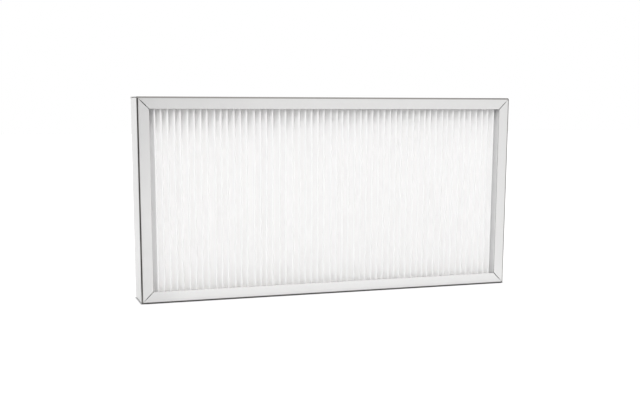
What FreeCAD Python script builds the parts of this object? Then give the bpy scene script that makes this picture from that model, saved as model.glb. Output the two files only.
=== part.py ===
"""Panel air filter for a ventilation unit, standing on its long edge.

A strip of galvanised channel is notched and folded round a pleated pack, with its two ends lapped at
the top left corner. The pack is sealed to the channel all round and leans on a grid of welded wires.
Front, the dusty air side, is -Y. The origin is the middle of the face that the filter stands on.
All lengths are in millimetres.
"""
import FreeCAD
import Part
import math
import os

Vector = FreeCAD.Vector

# Outside of the frame
frame_width = 495.0
frame_height = 250.0
frame_depth = 48.0

# Sheet and section of the channel
sheet_thickness = 0.7
bend_inside_radius = 1.3
flange_width = 14.5  # from the outer edge to the opening

# Mitres of the flanges: three corners are folded and close up towards the outer corner
mitre_gap_inside = 0.8
mitre_gap_outside = 0.15
joint_mitre_gap = 0.8  # the fourth corner, where the strip's ends meet, is open all along

# Lap at the top left corner: the left side's end turns in below the top side
tab_length = 12.0
tab_side_relief = 1.0  # between the tab's edge and the bend of each flange
lap_gap = 0.1
clinch_diameter = 5.0  # pressed buttons that lock the lap
clinch_spacing = 22.0
clinch_drop = 0.6  # below the tab
clinch_floor = 0.5
clinch_wall = 0.7
cutter_overrun = 1.0  # how far every cutter runs past the sheet

# Pleated media
pleat_pitch = 8.24
media_thickness = 0.9
fold_inner_radius = 0.35
fold_flats = 4  # each fold turns in this many even steps, which keeps the long pack light
front_recess = 3.0  # from the front of the flanges to the folds
fold_clearance = 0.1  # between the rear folds and the wires
least_end_room = 5.0  # from the last rear fold to the side web

# Sealant between the pack and the channel
sealant_height = 4.0  # at top and bottom
end_sealant_thickness = 1.0  # where the end leaf comes nearest to the side web
sealant_corner_ease = 0.4  # its rounding is this much larger than the bend's inside
tab_pocket_clearance = 0.2

# Support grid
wire_diameter = 1.5
wire_spacing = 25.0
wire_end_clearance = 1.5
least_edge_wire_room = 12.0  # from the outermost wires to the web beside them

# Planes and radii that several pieces share
bend_radius = bend_inside_radius + sheet_thickness
left = -frame_width / 2
right = frame_width / 2
front = -frame_depth / 2
rear = frame_depth / 2
web_inside_x = right - sheet_thickness
web_bottom_inside = sheet_thickness
web_top_inside = frame_height - sheet_thickness
grid_front = rear - sheet_thickness - 2 * wire_diameter
straight_web = frame_depth / 2 - bend_radius  # half of the flat part of the web
tab_top = web_top_inside - lap_gap
tab_bottom = tab_top - sheet_thickness
tab_end = left + bend_radius + tab_length
tab_half_width = straight_web - tab_side_relief
media_bottom = web_bottom_inside + sealant_height
media_top = web_top_inside - sealant_height


def in_xz(x, z):
    return Vector(x, 0, z)


def box_between(low, high):
    """A box from its lowest to its highest corner."""
    size = [b - a for a, b in zip(low, high)]
    return Part.makeBox(*size, Vector(*low))


def prism(points, start, length):
    """A flat outline of straight edges, moved to start and drawn out along length."""
    face = Part.Face(Part.makePolygon(points + points[:1]))
    face.translate(start)
    return face.extrude(length)


def rounded_block(inset, radius):
    """The outer block of the frame, moved in by inset, with its edges rounded where the strip is bent.

    Its edge at the top left stays sharp, because the strip is lapped and not folded there.
    """
    low = Vector(left + inset, front + inset, inset)
    high = Vector(right - inset, rear - inset, frame_height - inset)
    block = box_between(low, high)
    lap_middle = Vector(low.x, 0, high.z)
    bent = [edge for edge in block.Edges if not edge.CenterOfMass.isEqual(lap_middle, sheet_thickness)]
    return block.makeFillet(radius, bent)


def mitre_slots():
    """The gaps between neighbouring flanges, through the flange and its bend, front and rear."""
    past = cutter_overrun
    slots = []
    for side_x in (-1, 1):
        for side_z in (-1, 1):
            is_joint = side_x < 0 < side_z
            outside = joint_mitre_gap if is_joint else mitre_gap_outside
            inside = joint_mitre_gap if is_joint else mitre_gap_inside
            corner_x = side_x * frame_width / 2
            corner_z = frame_height if side_z > 0 else 0.0
            points = []
            for reach, gap in ((-past, outside), (flange_width + past, inside)):
                shift = gap / 2 * math.sqrt(0.5)
                middle_x = corner_x - side_x * reach
                middle_z = corner_z - side_z * reach
                pair = [(middle_x - side_x * shift, middle_z + side_z * shift),
                        (middle_x + side_x * shift, middle_z - side_z * shift)]
                points += pair if reach < 0 else pair[::-1]
            outline = [in_xz(x, z) for x, z in points]
            deep = Vector(0, bend_radius + past, 0)
            slots.append(prism(outline, Vector(0, front - past, 0), deep))
            slots.append(prism(outline, Vector(0, rear + past, 0), -deep))
    return slots


def lap_tab():
    """The end of the left side, bent in below the top side."""
    bend_start = tab_top - bend_radius
    inner = bend_inside_radius
    centre_x = left + bend_radius
    diagonal = math.sqrt(0.5)
    outer_arc = Part.Arc(in_xz(left, bend_start),
                         in_xz(centre_x - bend_radius * diagonal, bend_start + bend_radius * diagonal),
                         in_xz(centre_x, tab_top))
    inner_arc = Part.Arc(in_xz(centre_x, tab_bottom),
                         in_xz(centre_x - inner * diagonal, bend_start + inner * diagonal),
                         in_xz(left + sheet_thickness, bend_start))
    edges = [outer_arc.toShape(),
             Part.makeLine(in_xz(centre_x, tab_top), in_xz(tab_end, tab_top)),
             Part.makeLine(in_xz(tab_end, tab_top), in_xz(tab_end, tab_bottom)),
             Part.makeLine(in_xz(tab_end, tab_bottom), in_xz(centre_x, tab_bottom)),
             inner_arc.toShape(),
             Part.makeLine(in_xz(left + sheet_thickness, bend_start), in_xz(left, bend_start))]
    face = Part.Face(Part.Wire(edges))
    face.translate(Vector(0, -tab_half_width, 0))
    return face.extrude(Vector(0, 2 * tab_half_width, 0))


def frame_channel():
    """One strip of channel, folded at three corners and lapped at the top left."""
    strip = rounded_block(0, bend_radius)
    strip = strip.cut(rounded_block(sheet_thickness, bend_inside_radius))
    past = cutter_overrun
    opening = box_between((left + flange_width, front - past, flange_width),
                          (right - flange_width, rear + past, frame_height - flange_width))
    strip = strip.cut(opening)
    strip = strip.cut(mitre_slots())

    # The left web stops where its tab begins to bend
    above_bend = box_between((left - past, -straight_web, tab_top - bend_radius),
                             (left + bend_radius, straight_web, web_top_inside))
    strip = strip.cut(above_bend).fuse(lap_tab())

    # Pressed buttons through the top web and the tab
    clinch_x = (left + bend_radius + tab_end) / 2
    button_bottom = tab_bottom - clinch_drop
    for side in (-1, 1):
        place = Vector(clinch_x, side * clinch_spacing / 2, button_bottom)
        button = Part.makeCylinder(clinch_diameter / 2, web_top_inside - button_bottom, place)
        strip = strip.fuse(button)
    for side in (-1, 1):
        place = Vector(clinch_x, side * clinch_spacing / 2, button_bottom + clinch_floor)
        punch = Part.makeCylinder(clinch_diameter / 2 - clinch_wall, frame_height, place)
        strip = strip.cut(punch)
    return strip.removeSplitter()


def fold_path():
    """The middle line of the media: each entry is a fold's centre and its signed radius.

    Folds at the front have a negative radius. The two ends have none, and lie beside the webs.
    """
    radius = fold_inner_radius + media_thickness / 2
    outer = fold_inner_radius + media_thickness
    front_y = front + front_recess + outer
    rear_y = grid_front - fold_clearance - outer
    room = 2 * (web_inside_x - least_end_room)
    folds = max(2, math.floor(room / pleat_pitch))
    end_x = web_inside_x - end_sealant_thickness - media_thickness / 2
    end_y = front + front_recess
    path = [(-end_x, end_y, 0.0)]
    for k in range(2 * folds + 1):
        x = (k - folds) * pleat_pitch / 2
        at_rear = k % 2 == 0
        path.append((x, rear_y, radius) if at_rear else (x, front_y, -radius))
    path.append((end_x, end_y, 0.0))
    return path


def leaf_angle(start, end):
    """Direction of the normal, left of the way from start to end, of the leaf that joins two folds."""
    dx = end[0] - start[0]
    dy = end[1] - start[1]
    heading = math.atan2(dy, dx) - math.asin((start[2] - end[2]) / math.hypot(dx, dy))
    return heading + math.pi / 2


def fold_point(fold, angle, offset):
    """A point on the face that lies offset to the left of the middle line, at one angle of a fold."""
    reach = fold[2] + offset
    return Vector(fold[0] + reach * math.cos(angle), fold[1] + reach * math.sin(angle), 0)


def media_face(path, angles, offset):
    """Corners of one face of the media as seen from above, offset to the left of its middle line."""
    points = [fold_point(path[0], angles[0], offset)]
    for fold, arriving, leaving in zip(path[1:-1], angles, angles[1:]):
        for step in range(fold_flats + 1):
            angle = arriving + (leaving - arriving) * step / fold_flats
            points.append(fold_point(fold, angle, offset))
    points.append(fold_point(path[-1], angles[-1], offset))
    return points


def pleated_media():
    """One sheet of media, folded up and down across the whole width."""
    path = fold_path()
    angles = [leaf_angle(a, b) for a, b in zip(path, path[1:])]
    one_face = media_face(path, angles, media_thickness / 2)
    other_face = media_face(path, angles, -media_thickness / 2)
    height = Vector(0, 0, media_top - media_bottom)
    return prism(one_face + other_face[::-1], Vector(0, 0, media_bottom), height)


def edge_sealant(low_z, high_z):
    """Sealant along the bottom or top of the channel, from the front flange to the wires."""
    bar = box_between((left, front, low_z), (right, grid_front, high_z))
    return bar.common(rounded_block(sheet_thickness, bend_inside_radius + sealant_corner_ease))


def top_sealant():
    """The upper bar leaves room for the lap's tab and its buttons."""
    pocket_half = tab_half_width + tab_pocket_clearance
    lowest = min(tab_bottom - clinch_drop, tab_top - bend_radius)
    pocket_floor = lowest - tab_pocket_clearance
    pocket = box_between((left, -pocket_half, pocket_floor),
                         (tab_end + tab_pocket_clearance, pocket_half, frame_height))
    return edge_sealant(media_top, web_top_inside).cut(pocket)


def end_sealant(side):
    """The wedge of sealant between the last leaf and the side web; side is -1 left or 1 right."""
    path = fold_path()
    leaf = (path[0], path[1]) if side < 0 else (path[-2], path[-1])
    angle = leaf_angle(*leaf)
    on_leaf = [fold_point(fold, angle, media_thickness / 2) for fold in leaf]
    on_web = [Vector(side * web_inside_x, point.y, 0) for point in on_leaf[::-1]]
    return prism(on_leaf + on_web, Vector(0, 0, media_bottom), Vector(0, 0, media_top - media_bottom))


def wire_places(middle, room):
    """Evenly spaced places, as many as fit within room on both sides of the middle."""
    each_side = max(0, math.floor(room / wire_spacing))
    return [middle + k * wire_spacing for k in range(-each_side, each_side + 1)]


def long_wires():
    """Wires that lie across the rear folds and hold them against the air."""
    reach = web_inside_x - wire_end_clearance
    y = grid_front + wire_diameter / 2
    room = frame_height / 2 - sheet_thickness - least_edge_wire_room
    return [Part.makeCylinder(wire_diameter / 2, 2 * reach, Vector(-reach, y, z), Vector(1, 0, 0))
            for z in wire_places(frame_height / 2, room)]


def cross_wires():
    """Upright wires, welded behind the long ones and resting on the rear flanges."""
    low = web_bottom_inside + wire_end_clearance
    high = web_top_inside - wire_end_clearance
    y = rear - sheet_thickness - wire_diameter / 2
    room = frame_width / 2 - sheet_thickness - least_edge_wire_room
    return [Part.makeCylinder(wire_diameter / 2, high - low, Vector(x, y, low))
            for x in wire_places(0.0, room)]


def all_parts():
    """Every piece of the filter by name."""
    parts = {"frame_channel": frame_channel(),
             "pleated_media": pleated_media(),
             "sealant_top": top_sealant(),
             "sealant_bottom": edge_sealant(web_bottom_inside, media_bottom),
             "sealant_left": end_sealant(-1),
             "sealant_right": end_sealant(1)}
    for number, wire in enumerate(long_wires(), 1):
        parts["grid_long_wire_%02d" % number] = wire
    for number, wire in enumerate(cross_wires(), 1):
        parts["grid_cross_wire_%02d" % number] = wire
    return parts


os.makedirs("parts", exist_ok=True)
for name, shape in all_parts().items():
    shape.exportStep("parts/%s.step" % name)
    print(name, "solids", len(shape.Solids), "valid", shape.isValid(), "mm3", round(shape.Volume, 1))
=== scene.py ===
# %% [markdown]
# A pleated panel air filter: white nonwoven folded zigzag in a channel of galvanised sheet, with a grid
# of welded wires behind it. The construction comes in as a fixed frame of solids in real metres, so this
# lesson never moves them. It gives each solid its finish, replaces the folded media by a softer one, and
# adds the spot welds of the grid.

# %% Load the frame
import math
import random

import bpy
from mathutils import Matrix, Vector


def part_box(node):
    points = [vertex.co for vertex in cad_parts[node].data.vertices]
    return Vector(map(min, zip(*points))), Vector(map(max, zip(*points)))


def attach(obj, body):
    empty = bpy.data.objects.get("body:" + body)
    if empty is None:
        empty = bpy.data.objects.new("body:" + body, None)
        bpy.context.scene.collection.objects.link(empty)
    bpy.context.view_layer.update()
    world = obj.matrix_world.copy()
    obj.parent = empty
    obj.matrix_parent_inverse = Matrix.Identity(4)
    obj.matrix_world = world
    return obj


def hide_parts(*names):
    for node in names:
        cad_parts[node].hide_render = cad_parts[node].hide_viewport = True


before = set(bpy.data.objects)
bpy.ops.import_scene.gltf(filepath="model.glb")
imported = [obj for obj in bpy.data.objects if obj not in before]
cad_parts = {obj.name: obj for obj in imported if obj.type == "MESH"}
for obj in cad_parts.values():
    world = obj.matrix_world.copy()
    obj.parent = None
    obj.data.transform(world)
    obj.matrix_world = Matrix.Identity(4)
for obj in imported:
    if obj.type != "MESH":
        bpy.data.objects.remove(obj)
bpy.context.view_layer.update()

MM = 0.001

# %% [markdown]
# Every later step leans on a few measures of the solids: the outside of the channel, the pack of folds,
# and the two layers of wire. They are read from the frame here, so nothing is typed twice. Only the reach
# of the channel's bends is given, because a box can't show it.

# %% Measures taken from the frame
channel_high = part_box("frame_channel")[1]
media_low, media_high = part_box("pleated_media")
long_wires = sorted(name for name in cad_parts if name.startswith("grid_long_wire"))
cross_wires = sorted(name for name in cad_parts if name.startswith("grid_cross_wire"))
sealants = sorted(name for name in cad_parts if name.startswith("sealant"))

half_width = channel_high.x
half_depth = channel_high.y
height = channel_high.z
bend = 2.0 * MM
print("pack", [round(v / MM, 1) for v in media_high - media_low], "mm")
print("wires", len(long_wires), "long and", len(cross_wires), "across")

# %% [markdown]
# The view is a product photographer's: the filter stands on its long edge, turned a little so that its
# left side shows, with the lens close to the height of its top edge. The lens looks slightly down, and
# the picture is shifted so that the upright edges stay nearly parallel.

# %% Camera
camera_place = Vector((-430, -1233, 247)) * MM
camera_turn = 18.81
camera_tilt = 9.74
camera_roll = 0.25
lens_length = 56.66
picture_shift = 0.1134

camera_data = bpy.data.cameras.new("product_camera")
camera_data.lens = lens_length
camera_data.shift_y = picture_shift
camera = bpy.data.objects.new("product_camera", camera_data)
bpy.context.scene.collection.objects.link(camera)
aim = (Matrix.Rotation(math.radians(-camera_turn), 4, "Z")
       @ Matrix.Rotation(math.radians(90 - camera_tilt), 4, "X")
       @ Matrix.Rotation(math.radians(camera_roll), 4, "Z"))
camera.matrix_world = Matrix.Translation(camera_place) @ aim
bpy.context.scene.camera = camera
bpy.context.scene.view_settings.view_transform = "Standard"

# %% [markdown]
# A finish is a small tree of nodes. Written node by node it is hard to read, so two helpers come first.
# A Field is a number that changes over the surface, and can be used in ordinary sums. A Finish is a
# material being made, or the air: its one method for nodes sets a node's settings, and then its sockets.

# %% Helpers for finishes
class Field:
    """A number that changes over a surface, ready for arithmetic."""

    def __init__(self, finish, socket):
        self.finish = finish
        self.socket = socket

    def math(self, operation, *values):
        return self.finish.math(operation, self, *values)

    def __add__(self, other):
        return self.math("ADD", other)

    def __sub__(self, other):
        return self.math("SUBTRACT", other)

    def __rsub__(self, other):
        return self.finish.math("SUBTRACT", other, self)

    def __mul__(self, other):
        return self.math("MULTIPLY", other)

    __radd__ = __add__
    __rmul__ = __mul__

    def smaller(self, other):
        return self.math("MINIMUM", other)

    def larger(self, other):
        return self.math("MAXIMUM", other)

    def size(self):
        return self.math("ABSOLUTE")

    def ramp(self, start, end):
        """0 before start, 1 after end, and a soft step between them; start may be the larger."""
        node = self.finish.node("ShaderNodeMapRange", {"interpolation_type": "SMOOTHSTEP"},
                                {"Value": self, "From Min": start, "From Max": end})
        return Field(self.finish, node.outputs["Result"])


class Finish:
    """The nodes of a material or of the world, being made."""

    def __init__(self, owner):
        owner.use_nodes = True
        self.material = owner
        self.tree = owner.node_tree
        self.tree.nodes.clear()
        in_air = isinstance(owner, bpy.types.World)
        self.output = self.node("ShaderNodeOutputWorld" if in_air else "ShaderNodeOutputMaterial")
        self.everywhere = self.node("ShaderNodeTexCoord")
        self.place = self.everywhere.outputs["Object"]

    def node(self, kind, settings=None, values=None):
        """A new node: its settings first, then a value or a link for each socket that is named."""
        made = self.tree.nodes.new(kind)
        for name, setting in (settings or {}).items():
            setattr(made, name, setting)
        for name, value in (values or {}).items():
            self.feed(made.inputs[name], value)
        return made

    def feed(self, socket, value):
        if isinstance(value, Field):
            self.tree.links.new(value.socket, socket)
        elif isinstance(value, bpy.types.NodeSocket):
            self.tree.links.new(value, socket)
        else:
            socket.default_value = value

    def math(self, operation, *values):
        node = self.node("ShaderNodeMath", {"operation": operation}, dict(enumerate(values)))
        return Field(self, node.outputs[0])

    def axes(self):
        """The place on the surface as three Fields, in metres."""
        parts = self.node("ShaderNodeSeparateXYZ", {}, {"Vector": self.place})
        return [Field(self, socket) for socket in parts.outputs]

    def stretched(self, scale):
        """The place, scaled along each axis, so that a pattern on it is drawn out."""
        return self.node("ShaderNodeMapping", {}, {"Vector": self.place, "Scale": scale}).outputs[0]

    def noise(self, cell, detail=2.0, stretch=None):
        """Soft noise from 0 to 1, with cells of that size in metres."""
        place = self.stretched(stretch) if stretch else self.place
        node = self.node("ShaderNodeTexNoise", {}, {"Vector": place, "Scale": 1 / cell, "Detail": detail})
        return Field(self, node.outputs[0])

    def mixed(self, factor, first, second):
        """A colour between two colours."""
        node = self.node("ShaderNodeMix", {"data_type": "RGBA"})
        for slot, value in ((0, factor), (6, first), (7, second)):
            self.feed(node.inputs[slot], value)
        return node.outputs[2]

    def relief(self, height, depth):
        """Bumps of that depth in metres, where height goes from 0 to 1."""
        return self.node("ShaderNodeBump", {}, {"Height": height, "Distance": depth}).outputs[0]

    def ray(self, kind):
        """1 for the rays of that kind, else 0."""
        return Field(self, self.node("ShaderNodeLightPath").outputs[kind])

    def shader(self, kind, **inputs):
        """A shader node's output; an underscore in an input's name stands for a space."""
        values = {name.replace("_", " "): value for name, value in inputs.items()}
        return self.node(kind, {}, values).outputs[0]

    def show(self, kind, **inputs):
        """Makes a shader and shows it."""
        self.feed(self.output.inputs["Surface"], self.shader(kind, **inputs))
        return self


def new_finish(name):
    return Finish(bpy.data.materials.new(name))


def grey(level, warmth=0.0):
    """A linear colour near grey; warmth lifts red and lowers blue."""
    return (level * (1 + warmth), level, level * (1 - warmth), 1.0)


def dress(names, finish):
    """Gives CAD nodes a finish, in place of the plain one that they came with."""
    for name in names:
        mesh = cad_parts[name].data
        mesh.materials.clear()
        mesh.materials.append(finish.material)
    print(finish.material.name, "on", len(names), "solids")


# %% [markdown]
# The studio is a white floor and white air. Camera rays and mirror-like rays see the air at exactly
# white. What lights the object is the same air, dim at the horizon and brighter overhead, with one lamp
# high in front that draws the shadow of the top flange. Deep pleats show why the air does most of the
# work: a lamp lights a crest well and a valley badly, while air from all around fills both alike, and so
# the media stays even. Together they are kept at a plain level, so that a colour comes out as written.
# Light may bounce very often here, since white felt loses next to nothing at each bounce.

# %% Air and lamp
air_low = 0.63
air_high = 1.68
air_rise = (0.1, 0.8)  # heights in the dome between which the air brightens
left_share = 0.05
lamp_strength = 24.0
lamp_size = 0.6
lamp_place = (-0.5, -2.2, 2.7)
bounce_count = 128

world = bpy.data.worlds.new("studio_air")
bpy.context.scene.world = world
air = Finish(world)
seen = air.ray("Is Camera Ray").larger(air.ray("Is Glossy Ray")).larger(air.ray("Is Transmission Ray"))
direction = air.node("ShaderNodeSeparateXYZ", {}, {"Vector": air.everywhere.outputs["Generated"]})
leftward, upward = 0 - Field(air, direction.outputs["X"]), Field(air, direction.outputs["Z"])
soft = upward.ramp(*air_rise) * (air_high - air_low) + air_low + leftward * left_share
air.show("ShaderNodeBackground", Color=grey(1.0), Strength=soft + (1 - soft) * seen)

lamp_data = bpy.data.lights.new("softbox", "AREA")
lamp_data.size = lamp_size
lamp_data.energy = lamp_strength
lamp_data.shape = "DISK"
lamp = bpy.data.objects.new("softbox", lamp_data)
lamp.location = lamp_place
lamp.rotation_euler = (Vector((0, 0, height / 2)) - lamp.location).to_track_quat("-Z", "Y").to_euler()
lamp.visible_glossy = False
bpy.context.scene.collection.objects.link(lamp)
for limit in ("max_bounces", "diffuse_bounces", "transmission_bounces"):
    setattr(bpy.context.scene.cycles, limit, bounce_count)
print("air", air_low, "to", air_high, "and lamp", lamp_strength, "W")

# %% [markdown]
# The floor is a grey card, so that less light comes from below than from above. For camera rays and
# mirror-like rays it is lifted by a little glow: open floor then reaches white and melts into the air,
# and the line where the object stands on it stays. The other cards give bright metal its drawing. A bend
# reflects a wide sweep of the room, and where that sweep meets a dark card the bend turns into a thin
# dark line. The dark card stands close beside its bend, so that it darkens little of the flat side. Flat
# sheet reflects one patch only: a bright card lifts the lower flange, one at the side the left side, and
# a dim one far in front shades the upper left corner. All of these cards are hidden from the camera and
# from soft light.

# %% Floor and cards
floor_size = 12.0
floor_drop = 0.05 * MM
floor_white = 0.45
floor_roughness = 0.9
seen_glow = 0.5
mirrored_glow = 0.36
glow_reach = 2 * MM


def deselect_all():
    if bpy.context.object and bpy.context.object.mode != "OBJECT":
        bpy.ops.object.mode_set(mode="OBJECT")
    bpy.ops.object.select_all(action="DESELECT")


def white_floor():
    deselect_all()
    bpy.ops.mesh.primitive_plane_add(size=floor_size, location=(0, 0, -floor_drop))
    floor = bpy.context.object
    floor.name = "floor"
    paint = new_finish("floor_card")
    x, y, _ = paint.axes()
    away = (x.size() - half_width).larger(y.size() - half_depth).ramp(0.0, glow_reach)
    glow = (paint.ray("Is Camera Ray") * seen_glow + paint.ray("Is Glossy Ray") * mirrored_glow) * away
    paint.show("ShaderNodeBsdfPrincipled", Base_Color=grey(floor_white), Roughness=floor_roughness,
               Emission_Color=paint.mixed(glow, grey(0.0), grey(1.0)), Emission_Strength=1.0)
    floor.data.materials.append(paint.material)


def studio_card(name, level, centre, size, facing):
    """A card that only mirror-like rays see, turned towards a point."""
    deselect_all()
    bpy.ops.mesh.primitive_plane_add(size=1.0, location=centre)
    card = bpy.context.object
    card.name = name
    card.scale = (size[0], size[1], 1.0)
    card.rotation_euler = (Vector(facing) - Vector(centre)).to_track_quat("Z", "Y").to_euler()
    paint = new_finish(name + "_paper").show("ShaderNodeEmission", Color=grey(level), Strength=1.0)
    card.data.materials.append(paint.material)
    for kind in ("camera", "diffuse", "transmission", "shadow"):
        setattr(card, "visible_" + kind, False)


white_floor()
studio_card("dark_card", level=0.02, centre=(-0.26, -0.05, 0.13), size=(0.06, 0.3), facing=(0, -0.05, 0.13))
studio_card("grey_card", level=0.1, centre=(0.42, 0.03, 0.3), size=(0.26, 0.7), facing=(0, 0.03, 0.3))
studio_card("low_card", level=0.3, centre=(-0.45, -0.05, 0), size=(0.3, 0.3), facing=(-0.45, -0.05, 1))
studio_card("bright_card", level=1.2, centre=(0.05, -0.34, 0), size=(0.5, 0.6), facing=(0.05, -0.34, 1))
studio_card("front_card", level=0.3, centre=(-0.1, -1.2, 0.4), size=(0.35, 0.3), facing=(-0.2, 0, 0.24))
studio_card("side_card", level=1.05, centre=(-0.4, 0.75, 0.12), size=(0.5, 0.6), facing=(-0.25, 0, 0.12))
print("floor and cards ready")

# %% [markdown]
# Galvanised sheet is steel under a thin coat of zinc. From a step away it is an even, light satin grey.
# Closer, the zinc has faint grains a few millimetres across, and the rolls of the mill have left fine
# lines along the strip. Where the strip is bent hard the coat is strained and duller, and each bend gets
# a dark line that is partly the strained coat and mostly a painted reflection of darker surroundings.
# The mitres are cut through the coat, so bare steel shows there as a darker line, which fades out towards
# the corner of the frame. Along the bends of the foot a near-black painted contact shadow is laid, where
# the frame stands on the floor, and the inside of the channel is painted darker as shade. All of this is
# read from the place on the object, so it stays put from any side.

# %% Finish of the galvanised sheet
zinc_level = 0.735
zinc_spread = 0.1
zinc_warmth = 0.005
zinc_roughness = 0.36
line_dullness = 0.12
grain_dullness = 0.08
bend_dullness = 0.05
# Dark line along the bends: partly a strained coat, mostly a painted reflection of darker surroundings.
strain_and_reflection_level = 0.27
strain_and_reflection_warmth = 0.05
strain_and_reflection_share = 0.9
strain_and_reflection_reach = (bend * 1.15, bend * 0.75)
# Painted contact shadow along the foot's bends, where the frame stands on the floor.
painted_foot_shadow_level = 0.08
painted_foot_shadow_reach = (3.0 * MM, 1.0 * MM)
cut_level = 0.08
cut_warmth = 0.03
cut_reach = 0.95 * MM
cut_fade = (3 * MM, 9 * MM)
# Painted shade inside the channel.
painted_inside_shade_level = 0.3
painted_inside_shade_warmth = 0.02
skin_depth = (0.25 * MM, 0.45 * MM)
mitre_blend = 0.1 * MM
grain_size = 6 * MM
grain_share = 0.05
grain_softness = 0.4
line_share = 0.06
line_scale = 900
line_stretch = 12
line_relief = 0.6
cloud_size = 60 * MM
cloud_share = 0.08
relief_depth = 0.01 * MM


def galvanised_sheet():
    paint = new_finish("galvanised_sheet")
    x, y, z = paint.axes()
    side_gap = half_width - x.size()
    edge_gap = z.smaller(height - z)
    from_outside = side_gap.smaller(edge_gap)
    from_face = half_depth - y.size()
    # the bends, which get the strained coat and the painted reflection
    at_bend = from_outside.larger(from_face).ramp(*strain_and_reflection_reach)
    across, along = (bend - from_outside).larger(0.0), (bend - from_face).larger(0.0)
    inside = (bend - (across * across + along * along).math("SQRT")).ramp(*skin_depth)

    on_side_run = (edge_gap - side_gap).ramp(-mitre_blend, mitre_blend)
    along_x = paint.noise(1.0, 3.0, stretch=(line_stretch, line_scale, line_scale))
    along_z = paint.noise(1.0, 3.0, stretch=(line_scale, line_scale, line_stretch))
    roll_lines = along_x + (along_z - along_x) * on_side_run
    grains = paint.node("ShaderNodeTexVoronoi", {"feature": "SMOOTH_F1"},
                        {"Vector": paint.place, "Scale": 1 / grain_size, "Smoothness": grain_softness})
    tone = Field(paint, paint.node("ShaderNodeSeparateColor", {}, {"Color": grains.outputs["Color"]})
                 .outputs[0])
    clouds = paint.noise(cloud_size)
    level = (tone - 0.5) * grain_share + (roll_lines - 0.5) * line_share + (clouds - 0.5) * cloud_share

    # painted contact shadow along the foot
    painted_foot_shadow = z.ramp(*painted_foot_shadow_reach)
    at_cut = (edge_gap - side_gap).size().ramp(cut_reach, cut_reach / 3) * edge_gap.ramp(*cut_fade)
    plain = paint.mixed(level + 0.5, grey(zinc_level * (1 - zinc_spread), zinc_warmth),
                        grey(zinc_level * (1 + zinc_spread), zinc_warmth))
    strain_and_reflection = paint.mixed(painted_foot_shadow, grey(strain_and_reflection_level, strain_and_reflection_warmth),
                           grey(painted_foot_shadow_level, strain_and_reflection_warmth))
    # the bends: strained coat and painted reflection
    outer = paint.mixed(at_bend * strain_and_reflection_share, plain, strain_and_reflection)
    # painted shade inside the channel
    whole = paint.mixed(inside, outer, grey(painted_inside_shade_level, painted_inside_shade_warmth))
    dullness = (roll_lines - 0.5) * line_dullness + (tone - 0.5) * grain_dullness + at_bend * bend_dullness
    return paint.show("ShaderNodeBsdfPrincipled", Metallic=1.0,
                      Base_Color=paint.mixed(at_cut, whole, grey(cut_level, cut_warmth)),
                      Roughness=zinc_roughness + dullness,
                      Normal=paint.relief(roll_lines * line_relief + tone * (1 - line_relief),
                                          relief_depth))


zinc = galvanised_sheet()
dress(["frame_channel"], zinc)

# %% [markdown]
# The wires are drawn and then zinc plated, brighter and smoother than the sheet. Drawing leaves lines
# along a wire, too fine to see, so a little noise in the roughness is enough. The sealant is a cast
# foam: matt, off-white, with small pores where it rose against the sheet.

# %% Finishes of the wire and the sealant
wire_patch = 5 * MM
wire_levels = (0.5, 0.72)
wire_roughness = 0.24
patch_dullness = 0.18
swirl_size = 9 * MM
sealant_levels = (0.66, 0.76)
sealant_roughness = 0.7
pore_size = 0.8 * MM
pore_rise = (0.62, 0.75)
pore_depth = 0.15 * MM


def zinc_wire():
    paint = new_finish("zinc_wire")
    patches = paint.noise(wire_patch, 3.0)
    return paint.show("ShaderNodeBsdfPrincipled", Metallic=1.0,
                      Base_Color=paint.mixed(patches, grey(wire_levels[0]), grey(wire_levels[1], -0.01)),
                      Roughness=wire_roughness + patches * patch_dullness)


def cast_sealant():
    paint = new_finish("cast_sealant")
    swirl = paint.noise(swirl_size, 3.0)
    pores = paint.noise(pore_size).ramp(*pore_rise)
    return paint.show("ShaderNodeBsdfPrincipled", Roughness=sealant_roughness,
                      Base_Color=paint.mixed(swirl, grey(sealant_levels[0], 0.03),
                                             grey(sealant_levels[1], 0.02)),
                      Normal=paint.relief(1 - pores, pore_depth))


wire_finish = zinc_wire()
dress(long_wires + cross_wires, wire_finish)
dress(sealants, cast_sealant())

# %% [markdown]
# The media is one long sheet, folded up and down. A machine scores and folds it, so the folds are tight
# and even in depth, but their spacing wanders by a millimetre or so once the pack is squeezed into its
# frame. It does so in two ways: each fold by itself, and whole stretches of the pack together, which
# drift to one side. The rear folds drift less, as the grid's wires hold them, and near the flanges the
# sealant holds both. Fold centres keep the frame's count.

# %% Places of the folds
media_thickness = 0.9 * MM
fold_radius = 0.8 * MM  # to the middle of the sheet
fold_pitch = 8.24 * MM
fold_steps = 6
fold_seed = 24
luck_spread = 0.5
luck_limit = 2.0
front_wander = 0.8 * MM
rear_wander = 0.35 * MM
pack_shift = -0.7 * MM
drift_reach = 0.9 * MM
drift_length = 300 * MM
rear_share = 0.35
held_power = 8  # the higher, the nearer to the flanges the wander reaches
end_room = 5 * MM
end_gap = 0.02 * MM


def fold_places():
    """Centres of the folds from left to right, as (x, y, side): side is 1 at the rear, -1 in front."""
    luck = random.Random(fold_seed)
    count = 2 * math.floor((media_high.x - end_room) / fold_pitch) + 1
    reach = fold_radius + media_thickness / 2
    places = []
    for k in range(2 * count - 1):
        x = (k - count + 1) * fold_pitch / 2
        side = 1 if k % 2 == 0 else -1
        wander = rear_wander if side > 0 else front_wander
        share = rear_share if side > 0 else 1.0
        drift = share * (pack_shift + drift_reach * math.cos(2 * math.pi * x / drift_length))
        away = max(0.0, 1 - (abs(x) / half_width) ** held_power)
        step = max(-luck_limit, min(luck_limit, luck.gauss(0, luck_spread))) * wander
        x += away * (drift + step)
        y = media_high.y - reach if side > 0 else media_low.y + reach
        places.append((x, y, side))
    return places


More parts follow.
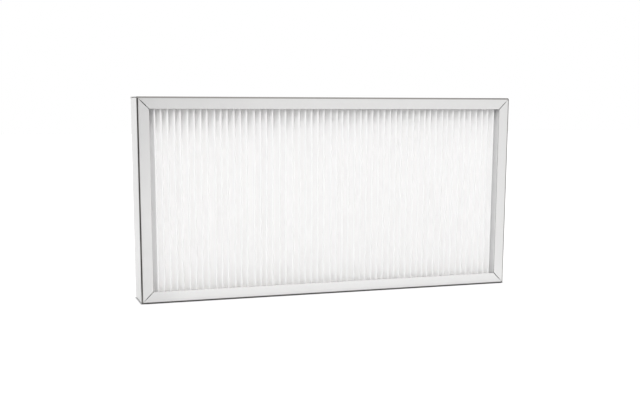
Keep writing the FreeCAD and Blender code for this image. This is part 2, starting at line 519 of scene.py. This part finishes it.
folds = fold_places()
front_folds = [place for place in folds if place[2] < 0]
steps = [b[0] - a[0] for a, b in zip(front_folds, front_folds[1:])]
print(len(front_folds), "front folds", round(min(steps) / MM, 2), "to", round(max(steps) / MM, 2),
      "mm apart")

# %% [markdown]
# Now the folds become a sheet. Drawn as by hand, it starts as one point: each leaf is an extrusion to
# the next fold, and each fold a spin round its centre. The whole line is then extruded upwards in a few
# levels, so that a soft wave can run up the leaves: real nonwoven is never quite flat. A Solidify
# modifier gives it its thickness last.

# %% Model the folded sheet
rise_levels = 14
wave_size = 34 * MM
wave_depth = 0.45 * MM
merge_reach = 0.005 * MM


def leaf_turn(start, end):
    """Direction of the leaf's left normal, for a leaf that touches both folds."""
    run, rise = end[0] - start[0], end[1] - start[1]
    lean = math.asin(fold_radius * (start[2] - end[2]) / math.hypot(run, rise))
    return math.atan2(rise, run) - lean + math.pi / 2


def touch(place, turn):
    """Where a leaf leaves a fold, on the middle of the sheet."""
    return Vector((place[0] + fold_radius * place[2] * math.cos(turn),
                   place[1] + fold_radius * place[2] * math.sin(turn), media_low.z))


def single_point(place, name):
    deselect_all()
    bpy.ops.mesh.primitive_plane_add(size=MM, location=place)
    bpy.context.object.name = name
    bpy.ops.object.transform_apply(location=True, rotation=False, scale=False)
    bpy.ops.object.mode_set(mode="EDIT")
    bpy.ops.mesh.select_all(action="SELECT")
    bpy.ops.mesh.merge(type="CENTER")
    return bpy.context.object


def folded_sheet(places):
    """The sheet, and the length of its folded line in metres."""
    outer_x = media_high.x - media_thickness / 2 - end_gap
    ends = [(-outer_x, media_low.y, 0), (outer_x, media_low.y, 0)]
    path = [ends[0]] + places + [ends[1]]
    turns = [leaf_turn(a, b) for a, b in zip(path, path[1:])]
    here = touch(path[0], turns[0])
    sheet = single_point(here, "pleated_sheet")
    length = 0.0
    for k, turn in enumerate(turns):
        there = touch(path[k + 1], turn)
        bpy.ops.mesh.extrude_region_move(TRANSFORM_OT_translate={"value": there - here})
        length += (there - here).length
        if k + 1 < len(turns):
            bend_angle = turns[k + 1] - turn
            centre = (path[k + 1][0], path[k + 1][1], media_low.z)
            bpy.ops.mesh.spin(steps=fold_steps, angle=bend_angle, center=centre, axis=(0, 0, -1))
            here = touch(path[k + 1], turns[k + 1])
            length += fold_radius * abs(bend_angle)
    bpy.ops.mesh.select_all(action="SELECT")
    bpy.ops.mesh.remove_doubles(threshold=merge_reach)
    bpy.ops.mesh.select_all(action="SELECT")
    rise = (media_high.z - media_low.z) / rise_levels
    for level in range(rise_levels):
        bpy.ops.mesh.extrude_edges_move(TRANSFORM_OT_translate={"value": (0, 0, rise)})
    bpy.ops.object.mode_set(mode="OBJECT")
    return sheet, length


def apply_modifier(piece, kind, **settings):
    deselect_all()
    piece.select_set(True)
    bpy.context.view_layer.objects.active = piece
    modifier = piece.modifiers.new(kind.lower(), kind)
    for name, setting in settings.items():
        setattr(modifier, name, setting)
    bpy.ops.object.modifier_apply(modifier=modifier.name)


def outward(piece, smooth_angle):
    """Points the faces outwards, and smooths the turns that are gentler than an angle in degrees."""
    deselect_all()
    piece.select_set(True)
    bpy.context.view_layer.objects.active = piece
    bpy.ops.object.mode_set(mode="EDIT")
    bpy.ops.mesh.select_all(action="SELECT")
    bpy.ops.mesh.normals_make_consistent(inside=False)
    bpy.ops.object.mode_set(mode="OBJECT")
    bpy.ops.object.shade_smooth_by_angle(angle=math.radians(smooth_angle))


pleats, line_length = folded_sheet(folds)
waves = bpy.data.textures.new("leaf_waves", "CLOUDS")
waves.noise_scale = wave_size
apply_modifier(pleats, "DISPLACE", texture=waves, direction="X", strength=wave_depth, mid_level=0.5)
apply_modifier(pleats, "SOLIDIFY", thickness=media_thickness, offset=0.0, use_even_offset=True)
outward(pleats, smooth_angle=40)
print("sheet", round(line_length, 3), "m long,", len(pleats.data.polygons), "faces")

# %% [markdown]
# Nonwoven is a felt of fine white fibres. It scatters light so well that it looks bright all the way
# down its valleys, and it lets a little light through from one valley to the next. So the finish is a
# very pale, matt surface, mixed with a translucent one, with the felt's fibres as fine bumps. The front
# crests catch the most light, and a trace of painted shade there evens them with the valleys. The last
# folds on each side are painted greyer, as painted shade beside the flanges, more so on the right. The
# colour is warm by so little that it only shows where light has bounced many times, deep under the
# flanges.

# %% Finish of the media
media_white = 0.993
media_warmth = 0.0005
painted_crest_warmth = 0.002
mottle_share = 0.02
light_through = 0.06
fibre_size = 0.5 * MM
fibre_depth = 0.015 * MM
clump_size = 7 * MM
felt_roughness = 0.95
# Painted shade on the front crests, which catch the most light.
painted_crest_shade = 0.93
painted_crest_reach = 3.0 * MM
# Painted shade on the last folds beside the flanges, less on the left.
painted_end_shade = 0.89
painted_end_reach = (24 * MM, 15 * MM)
painted_end_left_share = 0.35


def nonwoven():
    paint = new_finish("nonwoven_media")
    felt = paint.noise(fibre_size, 4.0)
    clumps = paint.noise(clump_size, 3.0)
    x, y, _ = paint.axes()
    # the front crests, which get painted shade
    inside = y.ramp(media_low.y, media_low.y + painted_crest_reach)
    shade = inside * (1 - 2 * mottle_share) + (felt + clumps) * mottle_share
    pale = grey(media_white, media_warmth)
    # painted shade on the last folds beside the flanges, less on the left
    painted_end_side = x.ramp(-MM, MM) * (1 - painted_end_left_share) + painted_end_left_share
    at_end = (half_width - x.size()).ramp(*painted_end_reach) * painted_end_side
    inner = paint.mixed(at_end, pale, grey(painted_end_shade, media_warmth))
    # painted shade on the crests
    colour = paint.mixed(shade, grey(painted_crest_shade, painted_crest_warmth), inner)
    surface = paint.shader("ShaderNodeBsdfPrincipled", Base_Color=colour, Roughness=felt_roughness,
                           Normal=paint.relief(felt, fibre_depth))
    through = paint.shader("ShaderNodeBsdfTranslucent", Color=pale)
    both = paint.node("ShaderNodeMixShader", {}, {0: light_through, 1: surface, 2: through})
    paint.feed(paint.output.inputs["Surface"], both.outputs[0])
    return paint


pleats.data.materials.clear()
pleats.data.materials.append(nonwoven().material)
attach(pleats, "root")
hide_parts("pleated_media")
print("media dressed")

# %% [markdown]
# Where two wires of the grid cross, a resistance welder has pressed them together: the metal there is
# squeezed out to a small collar, dulled by the heat. One collar is modelled from a cylinder: its edges are
# bevelled, and it is drawn out along the long wire. It is then copied to each crossing, and the copies
# are joined to one piece.

# %% Spot welds of the grid
weld_radius = 0.75 * MM
weld_height = 0.6 * MM
weld_sides = 10
collar_bevel = 0.3 * weld_height
collar_stretch = (1.15, 1.0, 0.9)
heat_level = 0.42
heat_spread = 0.2
blotch_size = 1.5 * MM
weld_roughness = 0.45
blotch_dullness = 0.2


def weld_collar():
    deselect_all()
    bpy.ops.mesh.primitive_cylinder_add(vertices=weld_sides, radius=weld_radius, depth=weld_height,
                                        rotation=(math.pi / 2, 0, 0))
    collar = bpy.context.object
    bpy.ops.object.transform_apply(location=False, rotation=True, scale=False)
    bpy.ops.object.mode_set(mode="EDIT")
    bpy.ops.mesh.select_all(action="SELECT")
    bpy.ops.mesh.bevel(offset=collar_bevel, segments=1)
    bpy.ops.mesh.select_all(action="SELECT")
    bpy.ops.transform.resize(value=collar_stretch)
    bpy.ops.object.mode_set(mode="OBJECT")
    return collar


def spot_welds():
    """One piece with a collar at each crossing of the wires."""
    collar = weld_collar()
    welds = []
    for long_name in long_wires:
        long_low, long_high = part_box(long_name)
        for cross_name in cross_wires:
            cross_low, cross_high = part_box(cross_name)
            touch_y = max(long_low.y, cross_low.y)
            weld = collar.copy()
            weld.data = collar.data.copy()
            bpy.context.scene.collection.objects.link(weld)
            weld.data.transform(Matrix.Translation(((cross_low.x + cross_high.x) / 2, touch_y,
                                                    (long_low.z + long_high.z) / 2)))
            welds.append(weld)
    bpy.data.objects.remove(collar)
    deselect_all()
    for weld in welds:
        weld.select_set(True)
    bpy.context.view_layer.objects.active = welds[0]
    bpy.ops.object.join()
    welds[0].name = "grid_spot_welds"
    return welds[0]


def heated_zinc():
    paint = new_finish("heated_zinc")
    blotches = paint.noise(blotch_size)
    return paint.show("ShaderNodeBsdfPrincipled", Metallic=1.0,
                      Base_Color=paint.mixed(blotches, grey(heat_level * (1 - heat_spread), 0.03),
                                             grey(heat_level * (1 + heat_spread))),
                      Roughness=weld_roughness + blotches * blotch_dullness)


grid_welds = spot_welds()
outward(grid_welds, smooth_angle=50)
grid_welds.data.materials.clear()
grid_welds.data.materials.append(heated_zinc().material)
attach(grid_welds, "root")
print(len(long_wires) * len(cross_wires), "welds,", len(grid_welds.data.polygons), "faces")
